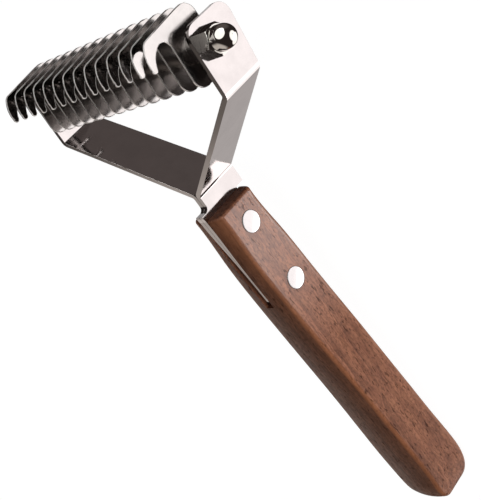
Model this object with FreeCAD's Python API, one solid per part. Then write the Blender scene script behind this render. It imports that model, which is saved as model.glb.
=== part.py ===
import FreeCAD, Part
import math
import os

from FreeCAD import Vector

# Deshedding rake: a pack of hooked blades threaded on a bolt, held in a fork made of two bent
# steel strips, whose tangs are riveted into a sawn slot in a wooden handle. Millimetres.
#
# Frame: the origin is the middle of the whole tool's bounding box.
#   +X  along the bolt, towards the cap nut
#   +Y  from the handle's butt towards the head
#   +Z  up, the side that the blade hooks stand out on
# The shapes below are drawn from the bolt's axis, half way between the fork's two tabs, and
# export() moves each one into the frame.

# ---- driving dimensions ----
blade_count = 14
blade_pitch = 5.2           # centre to centre along the bolt
blade_thick = 0.6
spacer_radius = 4.0
bolt_radius = 2.0           # M4 shank, its thread drawn as a plain cylinder
turning_gap = 0.05          # radial room around the bolt, and end room at the pack and the nut

end_washer_thick = 2.6
end_washer_radius = 4.4

strip_thick = 1.4
strip_low = -10.4           # the strips' two edges along Z, at the neck
strip_high = 3.9
bend_low = -8.0             # the same two edges at the bend between arm and tab ...
bend_high = 5.3
tab_low = -10.2             # ... and at the tab's free end: the arm sweeps up, the tab leans back
tab_high = 4.7
strip_split = 0.06          # hairline between the two tangs
tab_top = 6.0               # Y of the tabs' free ends
tab_corner_radius = 3.4
tab_bend_y = -12.2          # Y of the outside of the bend between tab and arm
neck_bend_y = -37.5         # Y of the outside of the bend between arm and neck
bend_inside_radius = 0.8

shoulder_y = -41.7          # where the neck widens to the tang, on the hook side
shoulder_high = 7.0
back_shoulder_y = -43.0     # where the neck narrows to the tang, on the back
tang_end_y = -73.4
tang_root = (-7.4, 6.8)     # Z of the tang's two edges at the handle's end face
tang_tip = (-9.0, 5.2)      # Z of the tang's two edges at its own end

handle_end_y = -43.5        # end face of the wood, where the tangs go in
handle_full_y = -136.0      # where the broad faces stop being flat and start to draw in
handle_root_half = 6.2      # half the thickness along X at the end face ...
handle_full_half = 7.53     # ... and there, with flat broad faces in between
butt_round_y = -152.5       # where the narrow sides start to round in as well
butt_tip_y = -163.1
butt_tip_drop = 1.3         # how far the tip lies below the middle of the section before it
# (Y, Z of the hook side's long edges, Z of the back's long edges,
#  how far the middle of the hook side stands above its edges)
handle_stations = ((-43.5, 5.05, -8.1, 1.95), (-58.0, 5.1, -8.95, 1.5), (-72.0, 4.85, -9.9, 1.15),
                   (-85.0, 4.1, -10.75, 1.1), (-98.0, 3.25, -11.7, 1.1),
                   (-112.0, 2.35, -12.55, 1.1), (-125.0, 1.7, -13.35, 1.1),
                   (-136.0, 1.2, -14.0, 1.1), (-142.0, 0.85, -14.5, 1.1),
                   (-148.0, 0.5, -15.05, 1.1), (-152.5, 0.3, -15.35, 1.1))
back_crown = 0.9
face_cut = 0.02             # what is planed off the broad faces, which makes them truly flat
butt_section_shares = (0.35, 0.6, 0.78, 0.9, 0.96, 0.99)
butt_width_power = 2.8      # the butt's outline seen along Z: 2 is an ellipse
butt_depth_power = 2.5      # ... and seen along X
handle_hook_edge = 1.3      # rounding of the long edges on the hook side
handle_back_edge = 2.6      # rounding of the long edges on the back
handle_end_edge = 1.1
slot_width = 3.0
slot_end_y = -75.2

rivet_places = ((-50.8, -1.6), (-71.7, -2.5))   # (Y, Z) of the two rivets
rivet_head_radius = 3.05
rivet_head_thick = 1.3
rivet_head_crown = 0.25
rivet_tube_radius = 2.3
rivet_pin_radius = 1.5
rivet_ring_gap = 0.12       # the thin ring of air around each head

nut_across_flats = 6.9      # a common M4 domed cap nut
nut_hex_height = 3.2
nut_dome_radius = 3.1
nut_height = 7.9
nut_chamfer = 0.4
nut_turn = 34.0             # degrees from +Y to its first corner

head_radius = 3.6           # the bolt's slotted head, at the end away from the nut
head_height = 2.6
head_rim = 0.6              # straight part of the head, under its dome
head_slot_width = 1.0
head_slot_depth = 1.1

box_middle = (2.7, -76.4, -0.65)   # middle of the bounding box, seen from the bolt's axis

# ---- worked out from them ----
pack_half = (blade_count - 1) / 2 * blade_pitch + blade_thick / 2
tab_inner = pack_half + end_washer_thick + turning_gap
tab_outer = tab_inner + strip_thick
tube_wall_gap = 0.03


def yz(y, z, x=0.0):
    """A point given by its place in the blade's plane."""
    return Vector(x, y, z)


def line(a, b):
    return Part.LineSegment(a, b).toShape()


def arc(a, through, b):
    return Part.Arc(a, through, b).toShape()


def cylinder_x(radius, x_from, x_to, y=0.0, z=0.0):
    return Part.makeCylinder(radius, x_to - x_from, Vector(x_from, y, z), Vector(1, 0, 0))


def box(low, high):
    low, high = Vector(*low), Vector(*high)
    size = high - low
    return Part.makeBox(size.x, size.y, size.z, low)


def revolve_about_x(profile):
    """Turn a closed (x, radius) profile, or a list of its edges, about the X axis."""
    edges = profile
    if not hasattr(profile[0], "ShapeType"):
        points = [Vector(x, r, 0) for x, r in profile]
        edges = [line(a, b) for a, b in zip(points, points[1:] + points[:1])]
    face = Part.Face(Part.Wire(edges))
    return face.revolve(Vector(0, 0, 0), Vector(1, 0, 0), 360)


def dome_arc(rim_x, rim_radius, height):
    """Part of a circle centred on the X axis, from a rim up to a crown height beyond it."""
    sphere = (rim_radius ** 2 + height ** 2) / (2 * abs(height))
    way = math.copysign(1.0, height)
    centre = rim_x + height - way * sphere
    half_angle = math.asin(rim_radius / sphere) / 2
    middle = Vector(centre + way * sphere * math.cos(half_angle),
                    sphere * math.sin(half_angle), 0)
    return arc(Vector(rim_x, rim_radius, 0), middle, Vector(rim_x + height, 0, 0))


def blade_outline():
    """One hooked blade, seen along the bolt: top edge, hook, throat, straight edge, round ends."""
    top_front, top_corner = yz(10.2, 0.0), yz(9.3, 11.6)
    hook_back, hook_end = yz(8.2, 13.4), yz(3.3, 14.9)
    tip, tip_inside = yz(2.2, 14.4), yz(2.6, 13.4)
    throat_top, throat_foot = yz(6.5, 9.4), yz(4.6, 6.9)
    edge_end, low_front = yz(-5.0, 7.4), yz(-8.1, 4.2)
    low_back, back_low = yz(-8.1, -1.4), yz(-5.0, -4.6)
    back_high, top_back = yz(6.6, -4.6), yz(10.2, -1.2)
    return Part.Wire([
        line(top_front, top_corner),
        arc(top_corner, yz(9.0, 12.6), hook_back),
        arc(hook_back, yz(5.9, 14.6), hook_end),
        arc(hook_end, tip, tip_inside),
        arc(tip_inside, yz(5.1, 11.8), throat_top),
        arc(throat_top, yz(6.1, 7.7), throat_foot),
        line(throat_foot, edge_end),
        arc(edge_end, yz(-7.2, 6.5), low_front),
        line(low_front, low_back),
        arc(low_back, yz(-7.2, -3.7), back_low),
        line(back_low, back_high),
        arc(back_high, yz(9.2, -3.6), top_back),
        line(top_back, top_front),
    ])


def blade_x(number):
    """Middle plane of blade 1 (at the bolt's head) to blade 14 (at the cap nut)."""
    return (number - 1 - (blade_count - 1) / 2) * blade_pitch


def make_blade(number):
    face = Part.Face(blade_outline())
    plate = face.extrude(Vector(blade_thick, 0, 0))
    plate.translate(Vector(blade_x(number) - blade_thick / 2, 0, 0))
    hole = cylinder_x(bolt_radius + turning_gap, -tab_outer, tab_outer)
    return plate.cut(hole)


def make_ring(outer_radius, x_from, x_to):
    ring = cylinder_x(outer_radius, x_from, x_to)
    return ring.cut(cylinder_x(bolt_radius + turning_gap, x_from - 1, x_to + 1))


def offset_line(points, distance):
    """Move an open run of (x, y) points sideways by distance, with mitred corners."""
    def normal(a, b):
        dx, dy = b[0] - a[0], b[1] - a[1]
        length = math.hypot(dx, dy)
        return (-dy / length, dx / length)
    sides = [normal(a, b) for a, b in zip(points, points[1:])]
    sides = [sides[0]] + sides + [sides[-1]]
    moved = []
    for (x, y), n1, n2 in zip(points, sides, sides[1:]):
        scale = distance / (1 + n1[0] * n2[0] + n1[1] * n2[1])
        moved.append((x + (n1[0] + n2[0]) * scale, y + (n1[1] + n2[1]) * scale))
    return moved


def edges_along(shape, axis, place):
    """The edges parallel to an axis whose middle is at a place, given by two coordinates."""
    found = []
    for edge in shape.Edges:
        a, b = edge.Vertexes[0].Point, edge.Vertexes[-1].Point
        middle = (a + b) / 2
        across = [middle[k] for k in range(3) if k != axis]
        straight = abs(abs((b - a)[axis]) - edge.Length) < 1e-6
        if straight and all(abs(c - p) < 1e-4 for c, p in zip(across, place)):
            found.append(edge)
    return found


def make_strip(side):
    """One strip of the fork: tab, slanting arm, neck and tang, bent from flat bar."""
    tang_face = strip_split / 2
    outside = [(tang_face + strip_thick, back_shoulder_y),
               (tang_face + strip_thick, neck_bend_y),
               (tab_outer, tab_bend_y),
               (tab_outer, tab_top)]
    inside = offset_line(outside, strip_thick)
    ring = [Vector(x, y, strip_low - 1) for x, y in outside + inside[::-1]]
    face = Part.Face(Part.makePolygon(ring + ring[:1]))
    bar = face.extrude(Vector(0, 0, bend_high - strip_low + 2))
    for corner in (outside[1], inside[2]):
        bar = bar.makeFillet(bend_inside_radius, edges_along(bar, 2, corner))
    for corner in (inside[1], outside[2]):
        bar = bar.makeFillet(bend_inside_radius + strip_thick, edges_along(bar, 2, corner))
    bar = bar.common(strip_side_view())
    tab_ends = []
    for z in (tab_low, tab_high):
        tab_ends += edges_along(bar, 0, (tab_top, z))
    bar = bar.makeFillet(tab_corner_radius, tab_ends)
    tang = make_tang(tang_face)
    strip = bar.fuse(tang).removeSplitter()
    strip = strip.cut(cylinder_x(bolt_radius + turning_gap, 0, tab_outer + 1))
    for y, z in rivet_places:
        strip = strip.cut(cylinder_x(rivet_tube_radius + turning_gap, -1, strip_thick + 1, y, z))
    if side < 0:
        strip = strip.mirror(Vector(0, 0, 0), Vector(1, 0, 0))
    return strip


def strip_side_view():
    """What a strip fills seen along X: straight at the neck, then sweeping up, then leaning back."""
    ring = [yz(back_shoulder_y, strip_low), yz(neck_bend_y, strip_low), yz(tab_bend_y, bend_low),
            yz(tab_top, tab_low), yz(tab_top, tab_high), yz(tab_bend_y, bend_high),
            yz(neck_bend_y, strip_high), yz(back_shoulder_y, strip_high)]
    face = Part.Face(Part.makePolygon(ring + ring[:1]))
    return face.extrude(Vector(tab_outer + 1, 0, 0))


def make_tang(tang_face):
    """The flat end that goes into the wood, with its shoulder above the handle's end face."""
    notch = 1.3
    ring = [yz(back_shoulder_y + 3, strip_low), yz(back_shoulder_y, strip_low),
            yz(back_shoulder_y, tang_root[0]),
            yz(tang_end_y, tang_tip[0]), yz(tang_end_y, tang_tip[1]),
            yz(handle_end_y, tang_root[1]), yz(shoulder_y - 0.6, shoulder_high),
            yz(shoulder_y, shoulder_high), yz(shoulder_y, strip_high + notch)]
    corner = arc(ring[-1], yz(shoulder_y + 0.3 * notch, strip_high + 0.3 * notch),
                 yz(shoulder_y + notch, strip_high))
    edges = [line(a, b) for a, b in zip(ring, ring[1:])]
    edges += [corner, line(yz(shoulder_y + notch, strip_high), ring[0])]
    flat = Part.Face(Part.Wire(edges)).extrude(Vector(strip_thick, 0, 0))
    flat.translate(Vector(tang_face, 0, 0))
    return flat


def handle_half_at(y):
    """Half the wood's thickness where its broad faces are flat."""
    along = (handle_end_y - y) / (handle_end_y - handle_full_y)
    return handle_root_half + (handle_full_half - handle_root_half) * along


def butt_narrowing(y):
    """How much of its full thickness the wood keeps at Y, as the butt draws in."""
    share = max(0.0, (handle_full_y - y) / (handle_full_y - butt_tip_y))
    return (1 - share ** butt_width_power) ** (1 / butt_width_power)


def flat_sided_block():
    """A wedge between the two flat, slightly spreading planes of the wood's broad faces."""
    near, far = handle_end_y + 1, butt_tip_y - 1
    ring = [Vector(handle_half_at(near), near, -30), Vector(handle_half_at(far), far, -30),
            Vector(-handle_half_at(far), far, -30), Vector(-handle_half_at(near), near, -30)]
    face = Part.Face(Part.makePolygon(ring + ring[:1]))
    return face.extrude(Vector(0, 0, 60))


def section_corner(half, edge_z, crown, rounding, way):
    """Rounded corner of a section: its (x, z) on the flat side, in the middle, on the crown."""
    big = (half ** 2 + crown ** 2) / (2 * crown)
    big_z = edge_z + way * (crown - big)
    small_x = half - rounding
    small_z = big_z + way * math.sqrt((big - rounding) ** 2 - small_x ** 2)
    out_x, out_z = small_x / (big - rounding), (small_z - big_z) / (big - rounding)
    size = math.hypot(1 + out_x, out_z)
    middle = (small_x + rounding * (1 + out_x) / size, small_z + rounding * out_z / size)
    return (half, small_z), middle, (out_x * big, big_z + out_z * big)


def wood_section(y, half, high, low, hook_crown, shrink=1.0):
    """The wood cut across at Y: two flat broad sides, two crowned narrow sides."""
    corners = []
    for edge_z, crown, rounding, way in ((high, hook_crown, handle_hook_edge, 1),
                                         (low, back_crown, handle_back_edge, -1)):
        corners.append(section_corner(half, edge_z, crown * shrink, rounding * shrink, way))
    (top_side, top_middle, top_crown), (low_side, low_middle, low_crown) = corners

    def right(place):
        return Vector(place[0], y, place[1])

    def left(place):
        return Vector(-place[0], y, place[1])
    return Part.Wire([
        arc(right(top_side), right(top_middle), right(top_crown)),
        arc(right(top_crown), Vector(0, y, high + hook_crown * shrink), left(top_crown)),
        arc(left(top_crown), left(top_middle), left(top_side)),
        line(left(top_side), left(low_side)),
        arc(left(low_side), left(low_middle), left(low_crown)),
        arc(left(low_crown), Vector(0, y, low - back_crown * shrink), right(low_crown)),
        arc(right(low_crown), right(low_middle), right(low_side)),
        line(right(low_side), right(top_side)),
    ])


def make_handle():
    """One piece of wood: a loft along a gently bowed line, rounding in at the butt."""
    sections = []
    for y, high, low, crown in handle_stations:
        half = (handle_half_at(y) + face_cut) * butt_narrowing(y)
        sections.append(wood_section(y, half, high, low, crown))
    _, high, low, crown = handle_stations[-1]
    for share in butt_section_shares:
        middle = (high + low) / 2 - butt_tip_drop * share ** 2
        y = butt_round_y + (butt_tip_y - butt_round_y) * share
        slim = (1 - share ** butt_depth_power) ** (1 / butt_depth_power)
        depth_half = (high - low) / 2 * slim
        sections.append(wood_section(y, handle_half_at(y) * butt_narrowing(y),
                                     middle + depth_half, middle - depth_half, crown, slim))
    wood = Part.makeLoft(sections, True, False).common(flat_sided_block())
    end_edges = [e for e in wood.Edges
                 if all(abs(v.Point.y - handle_end_y) < 1e-4 for v in e.Vertexes)]
    wood = wood.makeFillet(handle_end_edge, end_edges)
    slot = box((-slot_width / 2, slot_end_y, -30), (slot_width / 2, 0, 30))
    wood = wood.cut(slot)
    seat_depth = rivet_head_thick + turning_gap
    for y, z in rivet_places:
        face_x = handle_half_at(y)
        wood = wood.cut(cylinder_x(rivet_tube_radius + turning_gap, -20, 20, y, z))
        wood = wood.cut(cylinder_x(rivet_head_radius + rivet_ring_gap,
                                   face_x - seat_depth, face_x + 1, y, z))
        wood = wood.cut(cylinder_x(rivet_head_radius + rivet_ring_gap,
                                   -face_x - 1, seat_depth - face_x, y, z))
    return wood


def rivet_head_profile(face_x, shank_radius, shank_end):
    """Half section of a rivet half: a low crowned head, then its shank towards smaller X."""
    under = face_x - rivet_head_thick
    crown = dome_arc(face_x, rivet_head_radius, rivet_head_crown)
    points = [Vector(face_x + rivet_head_crown, 0, 0), Vector(shank_end, 0, 0),
              Vector(shank_end, shank_radius, 0), Vector(under, shank_radius, 0),
              Vector(under, rivet_head_radius, 0), Vector(face_x, rivet_head_radius, 0)]
    return [line(a, b) for a, b in zip(points, points[1:])] + [crown]


def make_rivet_tube(y, z):
    """The half of a rivet seen on the cap nut's side: a head on a tube."""
    face_x = handle_half_at(y)
    far_end = -face_x + rivet_head_thick + 0.2
    body = revolve_about_x(rivet_head_profile(face_x, rivet_tube_radius, far_end))
    hollow = cylinder_x(rivet_pin_radius + tube_wall_gap, far_end - 1,
                        face_x - rivet_head_thick - 0.3)
    body = body.cut(hollow)
    body.translate(Vector(0, y, z))
    return body


def make_rivet_pin(y, z):
    """The half of a rivet on the other side: a head on a solid pin that goes into the tube."""
    face_x = handle_half_at(y)
    far_end = -face_x + rivet_head_thick + 1.0
    body = revolve_about_x(rivet_head_profile(face_x, rivet_pin_radius, far_end))
    body = body.mirror(Vector(0, 0, 0), Vector(1, 0, 0))
    body.translate(Vector(0, y, z))
    return body


def make_bolt():
    """The bolt: a plain shank through both tabs, and a low slotted head outside one of them."""
    seat = -tab_outer
    top = seat - head_height
    dome = dome_arc(seat - head_rim, head_radius, head_rim - head_height)
    points = [Vector(top, 0, 0), Vector(tab_outer + nut_hex_height, 0, 0),
              Vector(tab_outer + nut_hex_height, bolt_radius, 0), Vector(seat, bolt_radius, 0),
              Vector(seat, head_radius, 0), Vector(seat - head_rim, head_radius, 0)]
    bolt = revolve_about_x([line(a, b) for a, b in zip(points, points[1:])] + [dome])
    slot = box((top - 1, -head_radius - 1, -head_slot_width / 2),
               (top + head_slot_depth, head_radius + 1, head_slot_width / 2))
    return bolt.cut(slot)


def make_cap_nut():
    """A low hexagon with chamfered corners and a round dome."""
    seat = tab_outer + turning_gap
    corner_radius = nut_across_flats / math.sqrt(3)
    corners = []
    for k in range(7):
        angle = math.radians(nut_turn + 60 * k)
        corners.append(yz(corner_radius * math.cos(angle), corner_radius * math.sin(angle), seat))
    hexagon = Part.Face(Part.makePolygon(corners)).extrude(Vector(nut_hex_height, 0, 0))
    hex_top = seat + nut_hex_height
    flat_radius = nut_across_flats / 2
    cone = revolve_about_x([(seat, 0), (seat, corner_radius - 0.1),
                            (seat + 0.2, corner_radius + 0.1),
                            (hex_top - nut_chamfer, corner_radius + 0.1),
                            (hex_top, flat_radius - 0.05), (hex_top, 0)])
    hexagon = hexagon.common(cone)
    tip = seat + nut_height
    shoulder = tip - nut_dome_radius
    cap = dome_arc(shoulder, nut_dome_radius, nut_dome_radius)
    points = [Vector(tip, 0, 0), Vector(hex_top - 0.5, 0, 0),
              Vector(hex_top - 0.5, nut_dome_radius, 0), Vector(shoulder, nut_dome_radius, 0)]
    dome = revolve_about_x([line(a, b) for a, b in zip(points, points[1:])] + [cap])
    blind_hole = cylinder_x(bolt_radius + turning_gap, seat - 1, hex_top + 0.8)
    return hexagon.fuse(dome).removeSplitter().cut(blind_hole)


def export(name, shape):
    if not shape.isValid():
        raise ValueError(name + " is not a valid shape")
    if len(shape.Solids) != 1:
        raise ValueError(name + " is not one solid")
    solid = shape.Solids[0]
    solid.translate(-Vector(*box_middle))
    solid.exportStep("parts/" + name + ".step")


os.makedirs("parts", exist_ok=True)
export("handle", make_handle())
export("fork_strip_right", make_strip(1))
export("fork_strip_left", make_strip(-1))
for number, (y, z) in enumerate(rivet_places, start=1):
    export("rivet_%d_tube" % number, make_rivet_tube(y, z))
    export("rivet_%d_pin" % number, make_rivet_pin(y, z))
export("bolt", make_bolt())
export("cap_nut", make_cap_nut())
for number in range(1, blade_count + 1):
    export("blade_%02d" % number, make_blade(number))
for number in range(1, blade_count):
    start = blade_x(number) + blade_thick / 2
    export("spacer_%02d" % number,
           make_ring(spacer_radius, start, start + blade_pitch - blade_thick))
export("end_washer_left", make_ring(end_washer_radius, -pack_half - end_washer_thick, -pack_half))
export("end_washer_right", make_ring(end_washer_radius, pack_half, pack_half + end_washer_thick))
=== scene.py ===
import math
import bmesh
import bpy
from mathutils import Matrix, Vector


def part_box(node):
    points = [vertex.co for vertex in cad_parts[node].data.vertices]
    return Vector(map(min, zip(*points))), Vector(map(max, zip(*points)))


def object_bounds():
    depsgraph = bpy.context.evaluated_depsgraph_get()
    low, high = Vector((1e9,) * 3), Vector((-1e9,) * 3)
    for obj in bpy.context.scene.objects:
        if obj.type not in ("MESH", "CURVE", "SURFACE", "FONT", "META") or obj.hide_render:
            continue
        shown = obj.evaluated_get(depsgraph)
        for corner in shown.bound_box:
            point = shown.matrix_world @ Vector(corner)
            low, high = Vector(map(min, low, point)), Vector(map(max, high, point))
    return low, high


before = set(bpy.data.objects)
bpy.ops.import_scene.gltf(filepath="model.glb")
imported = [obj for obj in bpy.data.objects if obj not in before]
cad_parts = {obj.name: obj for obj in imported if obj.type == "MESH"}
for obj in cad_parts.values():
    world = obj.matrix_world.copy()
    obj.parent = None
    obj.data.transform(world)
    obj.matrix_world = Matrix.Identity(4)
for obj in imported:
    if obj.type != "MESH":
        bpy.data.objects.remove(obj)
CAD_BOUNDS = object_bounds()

# Deshedding rake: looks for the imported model. Metres, in the CAD frame: +X along the bolt to the
# cap nut, +Y from the butt to the head, +Z the side that the hooks stand out on.

MM = 0.001

# The camera, from the middle of the bolt's axis.
CAMERA_FROM_BOLT = Vector((0.2338, 0.0512, 0.1493))
CAMERA_FORWARD = Vector((-0.7886, -0.3644, -0.4952))
CAMERA_UP = Vector((0.0658, 0.7508, -0.6573))
FOCAL_LENGTH = 82.3285
SENSOR_WIDTH = 36.0
NEAREST_SEEN = 0.01

# Rounds on sharp edges, in millimetres.
STRIP_ROUND = 0.14
BLADE_BEVEL = 0.22
RIVET_ROUND = 0.08
TURNED_ROUND = 0.1
ROUND_SEGMENTS = 2
SHARP_ANGLE = 38            # degrees; flatter edges stay as they are
WELD_GAP = 0.002

# Walnut. Sizes in millimetres, colours linear.
PITH_FROM_BOLT_X = -24.0    # the middle of the tree's rings
PITH_FROM_BOLT_Z = -9.0
PITH_SLANT = 0.035          # how far the rings drift for each millimetre along the grain
RING_SPACING = 2.7
RING_WANDER = 16.0
PALE_WOOD = (0.44, 0.174, 0.096)
DARK_WOOD = (0.275, 0.101, 0.052)
LATE_WOOD = (0.12, 0.045, 0.028)
MOTTLE_WOOD = (0.57, 0.235, 0.122)
FIBRE_WOOD = (0.15, 0.053, 0.030)
GRIT_WOOD = (0.11, 0.040, 0.024)
PORE_WOOD = (0.03, 0.011, 0.008)
# painted shade for the hook side and the head end
SHADED_SIDE_WOOD = (0.055, 0.018, 0.006)
# lighter colour on the ridges between broad and narrow faces
RIDGE_WOOD = (0.42, 0.165, 0.078)
POLISH_START = -98.0        # from the bolt along Y: the face on the nut's side turns glossy here
POLISH_FULL = -50.0         # and is at its glossiest from here to the head
WOOD_RELIEF = 0.05

# Steel. Colours linear, sizes in millimetres.
STRIP_STEEL = (0.50, 0.47, 0.465)
BLADE_STEEL = (0.50, 0.48, 0.47)
NUT_STEEL = (0.55, 0.53, 0.50)
RIVET_STEEL = (0.52, 0.50, 0.50)
SPACER_STEEL = (0.34, 0.32, 0.31)
# painted shade on the strips' cut edges
EDGE_SHADE_STEEL = (0.045, 0.036, 0.030)
# painted highlight on the blades' bevels
BEVEL_HIGHLIGHT_STEEL = (0.95, 0.93, 0.92)
SMUDGED = 0.86              # a smudge's brightness beside the clean metal
LINE_RELIEF = 0.004
FINE_RELIEF = 0.0015
STRIP_WAVE = 0.02
EDGE_SHADE_START = -38.0         # from the bolt along Y: painted shade on a strip's cut edges grows darker towards the tabs
EDGE_SHADE_FULL = -14.0
SATIN_END = 6.5             # from the bolt along Z: the blades are satin up to here
BEVEL_HIGHLIGHT_START = 7.6           # their bevels' painted highlight begins here
HOOKS_START = 9.5           # from here up the blades are polished and their bevels carry the full painted highlight

# What polished steel reflects. Each card: where it is, full inside this angle and gone outside
# this one (degrees), brightness, colour. Between the cards the studio is dark.
REFLECTED_CARDS = {
    "tab_card": ((0.762, -0.372, -0.530), 29, 35, 1.95, (1.0, 0.97, 0.965)),
    "dome_rim_card": ((0.280, -0.690, -0.669), 27, 33, 1.9, (1.0, 0.98, 0.97)),
    "overhead_card": ((0.210, 0.820, 0.532), 40, 45, 2.0, (1.0, 1.0, 0.98)),
    "neck_card": ((0.309, 0.951, 0.0), 14, 20, 2.0, (1.0, 1.0, 0.98)),
    "right_arm_card": ((-0.527, -0.627, -0.574), 12, 26, 0.55, (1.0, 0.95, 0.93)),
    "hook_tip_card": ((-0.850, -0.525, 0.05), 8, 22, 0.9, (1.0, 0.95, 0.9)),
    "beige_card": ((-0.539, -0.642, 0.545), 18, 40, 0.8, (1.0, 0.92, 0.85)),
    "blade_top_card": ((-0.820, 0.174, -0.545), 6, 14, 0.6, (1.0, 1.0, 1.0)),
    "left_arm_card": ((-0.030, 0.874, -0.485), 20, 45, 0.10, (1.0, 0.86, 0.82)),
}
STUDIO_DARK = (0.035, 0.027, 0.025)

# Soft lights that reflections don't show: where each one is, brightness, colour.
STUDIO_LIGHTS = {
    "broad_side_light": ((0.98, -0.05, 0.06), 4.8, (1.0, 0.965, 0.92)),
    "hook_side_light": ((0.1, -0.3, 1.0), 1.25, (1.0, 1.0, 1.0)),
    "end_light": ((0.2, 1.0, 0.1), 1.2, (1.0, 0.95, 0.9)),
    "far_side_light": ((-1.0, 0.1, -0.15), 4.5, (1.0, 1.0, 1.0)),
    "back_light": ((0.1, -0.2, -1.0), 2.2, (1.0, 1.0, 1.0)),
}
LIGHT_SIZE = 0.5
LIGHT_DISTANCE = 0.8
LIGHT_TARGET = Vector((0, -0.1, 0))    # a point in the handle, from the bolt

FLOOR_HALF = 3.0
FLOOR_DROP = 0.2            # millimetres below the tool
DOME_RADIUS = 2.8
BACKDROP_GLOW = 0.97


def bolt_middle():
    """The point on the bolt's axis half way between the fork's two tabs."""
    low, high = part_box("blade_01")[0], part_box("blade_14")[1]
    bolt_low, bolt_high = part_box("bolt")
    return Vector(((low[0] + high[0]) / 2, (bolt_low[1] + bolt_high[1]) / 2,
                   (bolt_low[2] + bolt_high[2]) / 2))


BOLT_MIDDLE = bolt_middle()


class Maker:
    """Builds one material: small calls that add a node and hand back its output."""

    def __init__(self, name):
        self.material = bpy.data.materials.new(name)
        self.material.use_nodes = True
        self.tree = self.material.node_tree
        self.shader = self.tree.nodes["Principled BSDF"]
        coordinates = self.tree.nodes.new("ShaderNodeTexCoord")
        from_bolt = self.tree.nodes.new("ShaderNodeVectorMath")
        from_bolt.operation = "SUBTRACT"
        self.tree.links.new(coordinates.outputs["Object"], from_bolt.inputs[0])
        from_bolt.inputs[1].default_value = BOLT_MIDDLE
        self.place = from_bolt.outputs["Vector"]
        self.normal = coordinates.outputs["Normal"]

    def put(self, value, socket):
        """Links an output to the socket, or writes a plain value on it."""
        if hasattr(value, "is_linked"):
            self.tree.links.new(value, socket)
        else:
            socket.default_value = value

    def scaled(self, per_mm, shift=(0, 0, 0)):
        """The place in the object, in repeats for each millimetre along X, Y and Z."""
        node = self.tree.nodes.new("ShaderNodeMapping")
        node.inputs["Scale"].default_value = [s / MM for s in per_mm]
        node.inputs["Location"].default_value = shift
        self.put(self.place, node.inputs["Vector"])
        return node.outputs["Vector"]

    def noise(self, vector, detail, rough=0.5):
        node = self.tree.nodes.new("ShaderNodeTexNoise")
        self.put(vector, node.inputs["Vector"])
        node.inputs["Scale"].default_value = 1.0
        node.inputs["Detail"].default_value = detail
        node.inputs["Roughness"].default_value = rough
        return node.outputs["Fac"]

    def math(self, operation, a, b=0.0):
        node = self.tree.nodes.new("ShaderNodeMath")
        node.operation = operation
        for value, socket in zip((a, b), node.inputs):
            self.put(value, socket)
        return node.outputs[0]

    def range(self, value, low, high, to_low=0.0, to_high=1.0):
        """Smooth step between two values."""
        node = self.tree.nodes.new("ShaderNodeMapRange")
        node.interpolation_type = "SMOOTHSTEP"
        self.put(value, node.inputs["Value"])
        for name, number in (("From Min", low), ("From Max", high),
                             ("To Min", to_low), ("To Max", to_high)):
            node.inputs[name].default_value = number
        return node.outputs["Result"]

    def split(self, vector):
        node = self.tree.nodes.new("ShaderNodeSeparateXYZ")
        self.put(vector, node.inputs[0])
        return node.outputs

    def mix(self, share, a, b):
        """Colour a, turning into colour b as the share goes from 0 to 1."""
        node = self.tree.nodes.new("ShaderNodeMix")
        node.data_type = "RGBA"
        self.put(share, node.inputs[0])
        for value, socket in ((a, node.inputs[6]), (b, node.inputs[7])):
            self.put((*value, 1.0) if isinstance(value, tuple) else value, socket)
        return node.outputs[2]

    def bump(self, height, distance, strength=1.0, before=None):
        node = self.tree.nodes.new("ShaderNodeBump")
        node.inputs["Strength"].default_value = strength
        node.inputs["Distance"].default_value = distance
        self.put(height, node.inputs["Height"])
        if before is not None:
            self.put(before, node.inputs["Normal"])
        return node.outputs["Normal"]

    def finish(self, **sockets):
        for name, value in sockets.items():
            self.put(value, self.shader.inputs[name.replace("_", " ")])
        return self.material


def late_wood(m, x, y, z):
    """How far the wood is into the dark end of a growth ring, from 0 to 1."""
    wander = m.noise(m.scaled((0.06, 0.012, 0.06)), detail=3.0)
    wander_mm = m.math("MULTIPLY", m.math("SUBTRACT", wander, 0.5), RING_WANDER)
    across = m.math("SUBTRACT", z, PITH_FROM_BOLT_Z)
    depth = m.math("SUBTRACT", x, PITH_FROM_BOLT_X)
    squares = m.math("ADD", m.math("MULTIPLY", across, across), m.math("MULTIPLY", depth, depth))
    radius = m.math("ADD", m.math("SQRT", squares), wander_mm)
    radius = m.math("ADD", radius, m.math("MULTIPLY", y, PITH_SLANT))
    ring = m.math("FRACT", m.math("DIVIDE", radius, RING_SPACING))
    return m.math("POWER", ring, 3.0)


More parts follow.
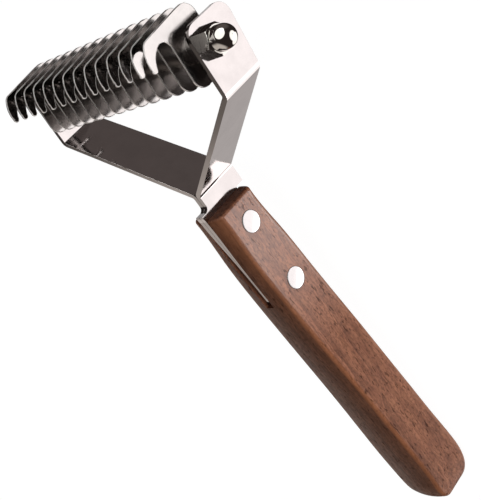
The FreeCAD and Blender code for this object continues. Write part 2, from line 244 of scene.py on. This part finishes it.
def walnut():
    """Oiled walnut, its grain along Y: growth rings, streaks, fibres and open pores."""
    m = Maker("walnut")
    x, y, z = m.split(m.scaled((1, 1, 1)))
    nx, ny, nz = m.split(m.normal)
    streak = m.noise(m.scaled((0.5, 0.018, 0.5), (3.1, 0.4, 7.7)), detail=4.0, rough=0.6)
    fibre = m.noise(m.scaled((1.5, 0.10, 1.5), (1.7, 5.2, 0.3)), detail=4.0, rough=0.7)
    mottle = m.noise(m.scaled((0.32, 0.16, 0.32), (9.0, 2.0, 4.0)), detail=3.0, rough=0.6)
    grit = m.noise(m.scaled((1.9, 0.8, 1.9), (2.0, 8.0, 6.0)), detail=2.5, rough=0.65)
    pore_noise = m.noise(m.scaled((1.7, 0.45, 1.7), (5.0, 1.0, 2.0)), detail=1.5)
    pores = m.range(pore_noise, 0.61, 0.69)
    colour = m.mix(m.range(streak, 0.34, 0.68), PALE_WOOD, DARK_WOOD)
    colour = m.mix(m.math("MULTIPLY", late_wood(m, x, y, z), 0.6), colour, LATE_WOOD)
    colour = m.mix(m.range(mottle, 0.3, 0.75, 0.0, 0.5), colour, MOTTLE_WOOD)
    colour = m.mix(m.range(fibre, 0.42, 0.68, 0.0, 0.65), colour, FIBRE_WOOD)
    colour = m.mix(m.range(grit, 0.46, 0.62, 0.0, 0.5), colour, GRIT_WOOD)
    colour = m.mix(m.math("MULTIPLY", pores, 0.65), colour, PORE_WOOD)
    # Painted shade: the hook side and the head end are darker than the broad faces.
    painted_side_shade = m.math("MAXIMUM", m.range(nz, 0.6, 0.95, 0.0, 0.5), m.range(ny, 0.5, 0.9, 0.0, 0.5))
    colour = m.mix(painted_side_shade, colour, SHADED_SIDE_WOOD)
    # The ridges between the broad faces and the narrow ones are lighter.
    ridge = m.math("MULTIPLY", m.math("ABSOLUTE", nx), m.math("ABSOLUTE", nz))
    colour = m.mix(m.range(ridge, 0.12, 0.42, 0.0, 0.5), colour, RIDGE_WOOD)
    polished = m.math("MULTIPLY", m.range(y, POLISH_START, POLISH_FULL), m.range(nx, 0.55, 0.95))
    roughness = m.math("SUBTRACT", m.range(fibre, 0.3, 0.7, 0.42, 0.52),
                       m.math("MULTIPLY", polished, 0.16))
    roughness = m.math("ADD", roughness, m.math("MULTIPLY", pores, 0.25))
    gloss = m.math("ADD", m.math("MULTIPLY", polished, 0.95), 0.11)
    height = m.math("SUBTRACT", m.math("MULTIPLY", fibre, 0.5), pores)
    return m.finish(Base_Color=colour, Roughness=roughness, Specular_IOR_Level=gloss,
                    Normal=m.bump(height, WOOD_RELIEF * MM, 0.6))


def shaded_cut_edges(m, base):
    """Paints shade on the cut edges of a strip, which face up and down, most of all near the tabs.
    """
    along = m.split(m.scaled((1, 1, 1)))[1]
    upward = m.split(m.normal)[2]
    cut = m.range(m.math("ABSOLUTE", upward), 0.5, 0.9, 0.0, 0.8)
    dark = m.range(along, EDGE_SHADE_START, EDGE_SHADE_FULL, 0.25, 1.0)
    return m.mix(m.math("MULTIPLY", cut, dark), base, EDGE_SHADE_STEEL)


def painted_bevel_highlight(m, base, roughness):
    """Paints a highlight on the bevels on a blade's nut side. Gives colour, roughness and metal's
    share.
    """
    height = m.split(m.scaled((1, 1, 1)))[2]
    sideways = m.split(m.normal)[0]
    bevel = m.math("MULTIPLY", m.range(sideways, 0.15, 0.35),
                   m.range(sideways, 0.9, 0.985, 1.0, 0.0))
    bevel = m.math("MULTIPLY", bevel, m.range(height, BEVEL_HIGHLIGHT_START, HOOKS_START, 0.35, 1.0))
    base = m.mix(bevel, base, BEVEL_HIGHLIGHT_STEEL)
    roughness = m.math("ADD", roughness, m.math("MULTIPLY", bevel, 0.4))
    roughness = m.math("ADD", roughness, m.range(height, SATIN_END, HOOKS_START, 0.09, 0.0))
    metallic = m.math("SUBTRACT", 1.0, m.math("MULTIPLY", bevel, 0.85))
    return base, roughness, metallic


def steel(name, colour, rough, lines, marks, wave=0.0, kind="plain"):
    """Bare bright steel: fine lines left by polishing, faint smudges and slight waviness."""
    m = Maker(name)
    line = m.noise(m.scaled(lines, (2.0, 3.0, 5.0)), detail=3.0, rough=0.6)
    smudge = m.noise(m.scaled((0.16, 0.16, 0.16), (7.0, 1.0, 3.0)), detail=4.0, rough=0.6)
    fine = m.noise(m.scaled((1.4, 1.4, 1.4)), detail=3.0)
    smudged = tuple(c * SMUDGED for c in colour)
    base = m.mix(m.math("MULTIPLY", m.range(smudge, 0.35, 0.7), 0.6), colour, smudged)
    roughness = m.math("ADD", m.range(smudge, 0.3, 0.75, rough * 0.75, rough * 1.5),
                       m.range(line, 0.35, 0.7, 0.0, 0.05 * marks))
    metallic = 1.0
    # painted shade on the cut edges
    if kind == "shaded_cut_edges":
        base = shaded_cut_edges(m, base)
    # painted highlight on the blades' bevels
    if kind == "painted_bevel_highlight":
        base, roughness, metallic = painted_bevel_highlight(m, base, roughness)
    normal = m.bump(line, LINE_RELIEF * MM * marks)
    if wave:
        broad = m.noise(m.scaled((0.09, 0.09, 0.09), (1.0, 4.0, 2.0)), detail=1.0)
        normal = m.bump(broad, wave * MM, before=normal)
    normal = m.bump(fine, FINE_RELIEF * MM * marks, before=normal)
    return m.finish(Base_Color=base, Metallic=metallic, Roughness=roughness, Normal=normal)


def round_edges(obj, width, clamp):
    """A small round or bevel on every sharp edge."""
    weld = obj.modifiers.new("weld", "WELD")
    weld.merge_threshold = WELD_GAP * MM
    bevel = obj.modifiers.new("round", "BEVEL")
    bevel.width = width * MM
    bevel.segments = ROUND_SEGMENTS
    bevel.limit_method = "ANGLE"
    bevel.angle_limit = math.radians(SHARP_ANGLE)
    bevel.use_clamp_overlap = clamp
    normals = obj.modifiers.new("normals", "WEIGHTED_NORMAL")
    normals.keep_sharp = True


def dress(start, material, width=0.0, clamp=True):
    """Gives the CAD nodes with this start of name their material and their rounds."""
    for name in sorted(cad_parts):
        if not name.startswith(start):
            continue
        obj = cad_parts[name]
        for slot in obj.material_slots:
            slot.material = material
        if width:
            round_edges(obj, width, clamp)


def dress_tool():
    """Every node's look. Polishing lines run along the axes with few repeats."""
    walnut_look = walnut()
    # the strips carry painted shade on their cut edges
    strip_look = steel("polished_strip", STRIP_STEEL, 0.07, (0.5, 6.0, 6.0), 0.5,
                       STRIP_WAVE, "shaded_cut_edges")
    # the blades carry a painted highlight on their bevels
    blade_look = steel("blade_steel", BLADE_STEEL, 0.06, (0.5, 0.7, 7.0), 0.5, kind="painted_bevel_highlight")
    nut_look = steel("nut_steel", NUT_STEEL, 0.05, (8.0, 0.6, 0.6), 0.4)
    rivet_look = steel("rivet_steel", RIVET_STEEL, 0.12, (0.4, 5.0, 5.0), 0.6)
    spacer_look = steel("spacer_steel", SPACER_STEEL, 0.2, (8.0, 0.6, 0.6), 0.8)
    dress("handle", walnut_look)
    dress("fork_strip", strip_look, STRIP_ROUND)
    dress("blade_", blade_look, BLADE_BEVEL, clamp=False)
    dress("rivet_", rivet_look, RIVET_ROUND)
    dress("spacer_", spacer_look, TURNED_ROUND)
    dress("end_washer", spacer_look, TURNED_ROUND)
    dress("bolt", nut_look, TURNED_ROUND)
    dress("cap_nut", nut_look, TURNED_ROUND)


def place_camera():
    data = bpy.data.cameras.new("camera")
    camera = bpy.data.objects.new("camera", data)
    bpy.context.scene.collection.objects.link(camera)
    back = -CAMERA_FORWARD.normalized()
    right = CAMERA_UP.cross(back).normalized()
    turn = Matrix((right, back.cross(right), back)).transposed().to_4x4()
    camera.matrix_world = Matrix.Translation(BOLT_MIDDLE + CAMERA_FROM_BOLT) @ turn
    data.sensor_fit = "HORIZONTAL"
    data.sensor_width = SENSOR_WIDTH
    data.lens = FOCAL_LENGTH
    data.clip_start = NEAREST_SEEN
    bpy.context.scene.camera = camera


def glow(name, white=0.0):
    """A surface that gives out plain light, with a share of white paint under it."""
    m = Maker(name)
    return m.finish(Base_Color=(white, white, white, 1.0), Roughness=0.9,
                    Emission_Color=(1.0, 1.0, 1.0, 1.0), Emission_Strength=BACKDROP_GLOW)


def only_for_camera(obj):
    for rays in ("diffuse", "glossy", "transmission", "volume_scatter", "shadow"):
        setattr(obj, "visible_" + rays, False)


def make_floor(below):
    """A pale floor with a pale dome far beyond it, seen by the camera only."""
    floor_mesh = bpy.data.meshes.new("floor")
    sides = ((-1, -1), (1, -1), (1, 1), (-1, 1))
    corners = [(x * FLOOR_HALF, y * FLOOR_HALF, below) for x, y in sides]
    floor_mesh.from_pydata(corners, [], [(0, 1, 2, 3)])
    floor_mesh.materials.append(glow("floor", white=0.1))
    floor = bpy.data.objects.new("floor", floor_mesh)
    shell = bmesh.new()
    bmesh.ops.create_uvsphere(shell, u_segments=32, v_segments=16, radius=DOME_RADIUS)
    dome_mesh = bpy.data.meshes.new("dome")
    shell.to_mesh(dome_mesh)
    shell.free()
    dome_mesh.materials.append(glow("dome"))
    dome = bpy.data.objects.new("dome", dome_mesh)
    for piece in (floor, dome):
        bpy.context.scene.collection.objects.link(piece)
        only_for_camera(piece)


def reflected_studio():
    """The world: soft-edged cards on a dark surround, which only reflections see."""
    world = bpy.data.worlds.new("studio")
    bpy.context.scene.world = world
    world.use_nodes = True
    tree = world.node_tree
    way = tree.nodes.new("ShaderNodeTexCoord").outputs["Generated"]
    total = None
    for aim, inner, outer, strength, colour in REFLECTED_CARDS.values():
        dot = tree.nodes.new("ShaderNodeVectorMath")
        dot.operation = "DOT_PRODUCT"
        tree.links.new(way, dot.inputs[0])
        dot.inputs[1].default_value = Vector(aim).normalized()
        edge = tree.nodes.new("ShaderNodeMapRange")
        edge.interpolation_type = "SMOOTHSTEP"
        tree.links.new(dot.outputs["Value"], edge.inputs["Value"])
        edge.inputs["From Min"].default_value = math.cos(math.radians(outer))
        edge.inputs["From Max"].default_value = math.cos(math.radians(inner))
        card = tree.nodes.new("ShaderNodeVectorMath")
        card.operation = "SCALE"
        card.inputs[0].default_value = [strength * c for c in colour]
        tree.links.new(edge.outputs["Result"], card.inputs["Scale"])
        join = tree.nodes.new("ShaderNodeVectorMath")
        join.operation = "ADD"
        tree.links.new(card.outputs["Vector"], join.inputs[0])
        if total is None:
            join.inputs[1].default_value = STUDIO_DARK
        else:
            tree.links.new(total, join.inputs[1])
        total = join.outputs["Vector"]
    tree.links.new(total, tree.nodes["Background"].inputs["Color"])
    world.cycles_visibility.diffuse = False


def soft_light(name, way, radiance, colour):
    """A square light that looks at the handle from the given direction and isn't reflected."""
    data = bpy.data.lights.new(name, "AREA")
    data.size = LIGHT_SIZE
    data.energy = radiance * math.pi * LIGHT_SIZE * LIGHT_SIZE
    data.color = colour
    light = bpy.data.objects.new(name, data)
    bpy.context.scene.collection.objects.link(light)
    way = Vector(way).normalized()
    light.location = BOLT_MIDDLE + LIGHT_TARGET + way * LIGHT_DISTANCE
    light.rotation_mode = "QUATERNION"
    light.rotation_quaternion = way.to_track_quat("Z", "Y")
    light.visible_camera = False
    light.visible_glossy = False


def light_studio():
    reflected_studio()
    for name, (way, radiance, colour) in STUDIO_LIGHTS.items():
        soft_light(name, way, radiance, colour)


dress_tool()
place_camera()
make_floor(CAD_BOUNDS[0].z - FLOOR_DROP * MM)
light_studio()
bpy.context.scene.view_settings.view_transform = "Standard"
